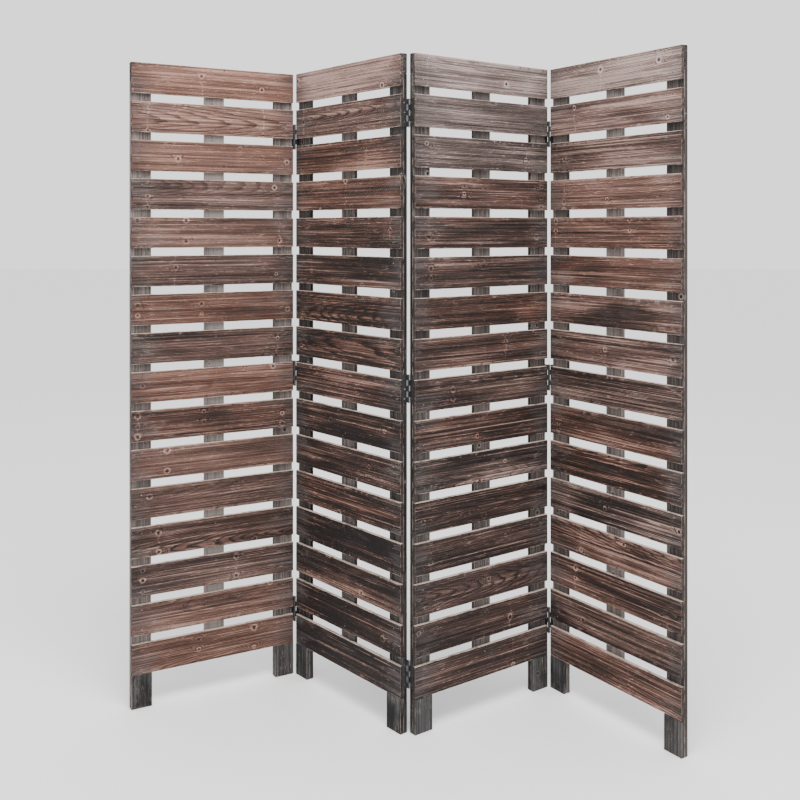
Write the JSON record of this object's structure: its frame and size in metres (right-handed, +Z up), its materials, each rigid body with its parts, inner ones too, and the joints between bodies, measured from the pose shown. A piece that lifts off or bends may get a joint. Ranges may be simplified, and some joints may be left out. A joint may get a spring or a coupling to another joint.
{
  "type": "folding room divider screen",
  "caption": "Free-standing folding screen of hinged, slatted wooden panels in a zigzag, with horizontal boards on upright stiles that run down as short legs.",
  "frame": {"origin": "on the floor, at the middle of the standing screen's bounding box", "axes": "+Z up; +X to the right along the zigzag, seen from the front; the slatted fronts face -Y, so +Y points to the back"},
  "size_m": [1.4016, 0.4838, 1.7],
  "materials": {
    "slat": "torched and stained softwood, matt, reddish brown above to black-brown below, with dark knots and pale worn edges",
    "stile": "charcoal-stained softwood, matt, with faint pale grain along the length",
    "top_rail": "charcoal-stained softwood with rough, mottled end grain",
    "hinge_leaf": "black lacquered steel, satin, slightly worn at the edges",
    "hinge_pin": "bare steel, lightly scratched",
    "screw": "blackened steel, rubbed bright in places",
    "nail": "dark wire-nail heads, rough iron"
  },
  "bodies": {
    "panel_1": {"hinge_1_2_bottom_left_leaf": "hinge_leaf", "hinge_1_2_bottom_pin": "hinge_pin", "hinge_1_2_middle_left_leaf": "hinge_leaf", "hinge_1_2_middle_pin": "hinge_pin", "hinge_1_2_top_left_leaf": "hinge_leaf", "hinge_1_2_top_pin": "hinge_pin", "panel_1_centre_stile": "stile", "panel_1_left_stile": "stile", "panel_1_right_stile": "stile", "panel_1_slats_01_04": "slat", "panel_1_slats_05_08": "slat", "panel_1_slats_09_12": "slat", "panel_1_slats_13_16": "slat", "panel_1_top_rail": "top_rail"},
    "panel_2": {"hinge_1_2_bottom_right_leaf": "hinge_leaf", "hinge_1_2_middle_right_leaf": "hinge_leaf", "hinge_1_2_top_right_leaf": "hinge_leaf", "hinge_2_3_bottom_left_leaf": "hinge_leaf", "hinge_2_3_bottom_pin": "hinge_pin", "hinge_2_3_middle_left_leaf": "hinge_leaf", "hinge_2_3_middle_pin": "hinge_pin", "hinge_2_3_top_left_leaf": "hinge_leaf", "hinge_2_3_top_pin": "hinge_pin", "panel_2_centre_stile": "stile", "panel_2_left_stile": "stile", "panel_2_right_stile": "stile", "panel_2_slats_01_04": "slat", "panel_2_slats_05_08": "slat", "panel_2_slats_09_12": "slat", "panel_2_slats_13_16": "slat", "panel_2_top_rail": "top_rail"},
    "panel_3": {"hinge_2_3_bottom_right_leaf": "hinge_leaf", "hinge_2_3_middle_right_leaf": "hinge_leaf", "hinge_2_3_top_right_leaf": "hinge_leaf", "hinge_3_4_bottom_left_leaf": "hinge_leaf", "hinge_3_4_bottom_pin": "hinge_pin", "hinge_3_4_middle_left_leaf": "hinge_leaf", "hinge_3_4_middle_pin": "hinge_pin", "hinge_3_4_top_left_leaf": "hinge_leaf", "hinge_3_4_top_pin": "hinge_pin", "panel_3_centre_stile": "stile", "panel_3_left_stile": "stile", "panel_3_right_stile": "stile", "panel_3_slats_01_04": "slat", "panel_3_slats_05_08": "slat", "panel_3_slats_09_12": "slat", "panel_3_slats_13_16": "slat", "panel_3_top_rail": "top_rail"},
    "panel_4": {"hinge_3_4_bottom_right_leaf": "hinge_leaf", "hinge_3_4_middle_right_leaf": "hinge_leaf", "hinge_3_4_top_right_leaf": "hinge_leaf", "panel_4_centre_stile": "stile", "panel_4_left_stile": "stile", "panel_4_right_stile": "stile", "panel_4_slats_01_04": "slat", "panel_4_slats_05_08": "slat", "panel_4_slats_09_12": "slat", "panel_4_slats_13_16": "slat", "panel_4_top_rail": "top_rail"}
  },
  "joints": [
    {"name": "fold_1_2", "type": "hinge", "parent": "panel_2", "child": "panel_1", "pos_m": [-0.28535, 0.22343, 0], "axis": [0, 0, 1], "range_deg": [-78.4, 101.6]},
    {"name": "fold_2_3", "type": "hinge", "parent": "panel_2", "child": "panel_3", "pos_m": [0.0343, -0.11513, 0], "axis": [0, 0, 1], "range_deg": [-85.8, 94.2]},
    {"name": "fold_3_4", "type": "hinge", "parent": "panel_3", "child": "panel_4", "pos_m": [0.42371, 0.14014, 0], "axis": [0, 0, -1], "range_deg": [-92.2, 87.8]}
  ]
}
